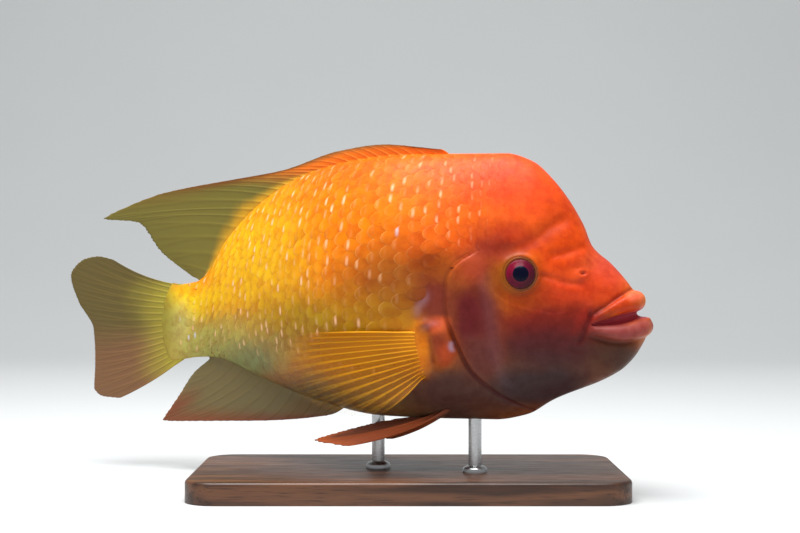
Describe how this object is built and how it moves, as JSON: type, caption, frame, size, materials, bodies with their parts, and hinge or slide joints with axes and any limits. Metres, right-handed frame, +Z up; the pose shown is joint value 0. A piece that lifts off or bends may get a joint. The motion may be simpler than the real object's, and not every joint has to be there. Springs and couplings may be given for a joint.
{
  "type": "cichlid fish model",
  "caption": "Life-size still model of an adult male red devil cichlid with a nuchal hump, folded dorsal fin and bent body, held on a flat base by two short rods.",
  "frame": {"origin": "centre of the display stand's underside, which stands on the floor", "axes": "+Z up; +X the way the head faces, with the snout about 10 degrees towards -Y; the fish's right side faces -Y, and its tail swings away to +Y"},
  "size_m": [0.2816, 0.1332, 0.1594],
  "materials": {
    "skin_red": "moist scaled skin, red-orange, dusky towards the throat",
    "skin_gold": "moist scaled skin, orange on the back and golden yellow on the flank",
    "fin_amber": "thin rayed fin, translucent amber",
    "fin_olive": "thin rayed fin, translucent olive brown with an orange edge",
    "eye": "glossy eye, crimson iris and blue-black pupil",
    "walnut": "dark satin wood",
    "steel": "fine brushed steel"
  },
  "bodies": {
    "root": {"head": "skin_red", "lower_jaw": "skin_red", "gill_cover_right": "skin_red", "gill_cover_left": "skin_red", "eye_right": "eye", "eye_left": "eye", "trunk": "skin_gold", "tail_stalk": "skin_gold", "dorsal_fin": "fin_olive", "anal_fin": "fin_olive", "caudal_fin": "fin_olive", "pectoral_fin_right": "fin_amber", "pectoral_fin_left": "fin_amber", "pelvic_fin_right": "fin_amber", "pelvic_fin_left": "fin_amber", "stand_base": "walnut", "stand_rod_front": "steel", "stand_rod_rear": "steel"}
  },
  "joints": []
}
